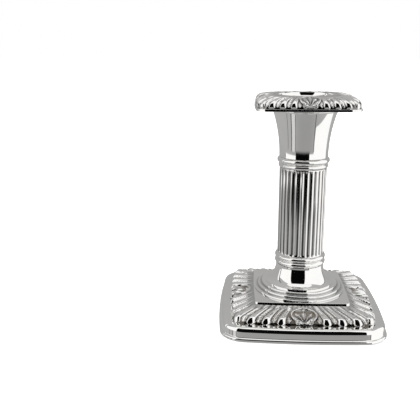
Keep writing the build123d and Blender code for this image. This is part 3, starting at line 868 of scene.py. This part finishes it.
def make_capital(silver):
    """The trumpet, its edge wire, and the socket in it that takes the nozzle's plug."""
    foot = half("upper_collar_top_bead") - CAPITAL_STEP
    bottom, top = low("capital"), high("capital")
    span = top - bottom
    inner_sweep = CAPITAL_SWEEP + SHEET
    edge_angle = degrees(asin(span / CAPITAL_SWEEP))
    inner_angle = degrees(asin(span / inner_sweep))
    centre = (foot + CAPITAL_SWEEP, bottom)
    outer = arc(centre, CAPITAL_SWEEP, CAPITAL_SWEEP, 180, 180 - edge_angle, 48)
    inner = arc(centre, inner_sweep, inner_sweep, 180 - inner_angle, 180, 32)
    lathe("capital_trumpet", np.vstack([outer, inner]), "stick", "capital", silver, 320)

    seat = high("capital_lip")
    lip = half("capital_lip")
    wire = (seat - top) / 2
    inside = half("capital_top_plate")
    nose = arc((lip - wire, top + wire), wire, wire, -90, 90, 20)
    edge_wire = np.vstack([[(inside, top)], nose, [(inside, seat)]])
    lathe("capital_edge_wire", edge_wire, "stick", "capital_lip", silver)
    sleeve = half("socket_floor")
    underneath = seat - SHEET
    plate = [(sleeve, underneath, 0), (inside, underneath, 0), (inside, seat, 0), (sleeve, seat, 0.15)]
    lathe("capital_deck", rounded(plate, 4, 0.03), "stick", "capital_top_plate", silver)
    floor_bottom, floor_top = low("socket_floor"), high("socket_floor")
    socket = sleeve - SLEEVE_WALL
    tube = [(socket, floor_top, 0), (sleeve, floor_top, 0), (sleeve, seat, 0), (socket, seat, 0.15)]
    lathe("socket_tube", rounded(tube, 4, 0.03), "stick", "socket_sleeve", silver)
    disc = [(0, floor_bottom), (sleeve * 0.5, floor_bottom), (sleeve, floor_bottom), (sleeve, floor_top)]
    disc += [(sleeve * 0.5, floor_top), (0, floor_top)]
    lathe("socket_disc", disc, "stick", "socket_floor", silver, 128)


def make_nozzle(silver, relief_silver):
    """The square drip pan with its chased border, the dish, and the candle tube that plugs in below."""
    rim_half = half("nozzle_rim")
    rim_bottom, rim_top = low("nozzle_rim"), high("nozzle_rim")
    height = rim_top - rim_bottom
    wire = [(0, rim_bottom, 0.1), (0, rim_top, 0.15), (height, rim_top, 0), (height, rim_bottom, 0)]
    wire = rounded(wire, steps=8, guard=0.03)
    moulding("nozzle_edge_wire", wire, (rim_half, RIM_CORNER, SIDE_BOW), "nozzle", "nozzle_rim", silver)

    pan_half = half("nozzle_pan")
    dish_half = half("nozzle_dish") + 0.1
    top = high("nozzle_pan")
    depth = pan_half - dish_half
    full = top - rim_top
    ground = [(0.05, 0), (0.2, 1.1), (0.8, 2.3), (2.1, 3.5), (4.2, 4.5), (7.0, 5.25), (depth, full)]
    crest = [(0, 0), (-0.2, 1.2), (-0.05, 2.5), (0.8, 3.9), (2.5, 5.0), (5.2, 5.65), (depth, full)]
    under = [(depth, full - 0.6), (6.5, 4.1), (2.6, 2.7), (1.2, 1.2), (0.8, 0)]
    chased_border(
        "nozzle_border_chased",
        (pan_half, RIM_CORNER, SIDE_BOW),
        (dish_half, dish_half * 0.97, SIDE_BOW),
        raised((ground, crest, under), rim_top),
        shell_width=5.5,
        steps=140,
        rows=52,
        body="nozzle",
        node="nozzle_pan",
        material=relief_silver,
    )

    bore = half("nozzle_tube") - SHEET
    mouth = half("nozzle_dish") - SHEET
    floor = low("nozzle_dish") + SHEET
    lip = half("nozzle_dish") + 0.1
    bowl = arc((bore, top), mouth - bore, top - floor, 270, 360, 24)
    outer = arc((bore, top), mouth - bore + SHEET, top - floor + SHEET, 360, 270, 16)
    brim = [(mouth + 0.05, top), (lip, top), (lip, top - 0.3)]
    lathe("nozzle_bowl", np.vstack([bowl, brim, outer[1:]]), "nozzle", "nozzle_dish", silver, 320)
    tube_bottom, tube_top = low("nozzle_tube"), high("nozzle_tube")
    outside = bore + SHEET
    tube = [(bore, tube_bottom, 0), (outside, tube_bottom, 0), (outside, tube_top, 0), (bore, tube_top, 0)]
    lathe("candle_tube", rounded(tube), "nozzle", "nozzle_tube", silver)
    disc_bottom, disc_top = low("nozzle_tube_floor"), high("nozzle_tube_floor")
    outer = half("nozzle_tube_floor")
    disc = [(0, disc_bottom), (outer * 0.5, disc_bottom), (outer - 0.3, disc_bottom)]
    disc += [(outer - 0.08, disc_bottom + 0.08), (outer, disc_bottom + 0.3)]
    disc += [(outer, disc_top), (outer * 0.5, disc_top), (0, disc_top)]
    lathe("candle_tube_end", disc, "nozzle", "nozzle_tube_floor", silver, 160)
    seat = half("nozzle_seat_collar")
    seat_bottom, seat_top = low("nozzle_seat_collar"), high("nozzle_seat_collar")
    collar = [(outside, seat_bottom, 0), (seat, seat_bottom, 0.3)]
    collar += [(seat, seat_top, 0.3), (outside, seat_top, 0)]
    lathe("nozzle_seat_ring", rounded(collar), "nozzle", "nozzle_seat_collar", silver)


def dress_hidden_nodes():
    """The CAD nodes that stay get their own procedural materials."""
    finishes = {
        board_material(): ["base_board"],
        filling_material(): ["base_filling", "column_filling"],
        steel_material(): ["tie_rod", "rod_nut", "rod_washer", "anchor_disc"],
    }
    for material, nodes in finishes.items():
        for node in nodes:
            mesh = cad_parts[node].data
            mesh.materials.clear()
            mesh.materials.append(material)


make_camera()
make_studio()
make_floor()
# the second number is how dark the hollows are painted, partly tarnished silver and partly painted shade
plain_silver = silver_material("silver_polished", 0.5, 0.08)
chased_silver = silver_material("silver_chased", 0.75, 0.03)
make_base(plain_silver, chased_silver, baize_material())
make_foot_and_collars(plain_silver)
make_column(silver_material("silver_fluted", 1.0, 0.03))
make_capital(plain_silver)
make_nozzle(plain_silver, chased_silver)
dress_hidden_nodes()
